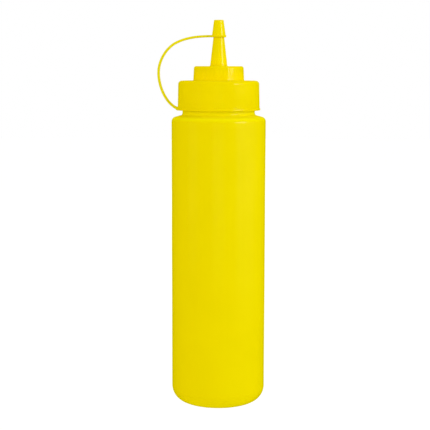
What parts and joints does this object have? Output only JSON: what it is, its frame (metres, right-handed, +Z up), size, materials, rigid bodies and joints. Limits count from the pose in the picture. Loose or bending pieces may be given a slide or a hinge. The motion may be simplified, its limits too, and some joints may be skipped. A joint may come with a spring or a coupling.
{
  "type": "sauce dispenser bottle",
  "caption": "Tall round squeeze bottle for sauce, with a stepped screw lid, a tapered pouring nozzle and a tip cover held by a thin looped strand.",
  "frame": {"origin": "centre of the flat base, on the bottle's axis", "axes": "+Z up along the bottle's axis to the nozzle's tip; the strand's loop stands out along -X; -Y faces the viewer"},
  "size_m": [0.0758, 0.066, 0.2708],
  "materials": {
    "bottle_plastic": "satin",
    "lid_plastic": "semi-gloss"
  },
  "bodies": {
    "root": {"bottle": "bottle_plastic", "lid": "lid_plastic"}
  },
  "joints": []
}
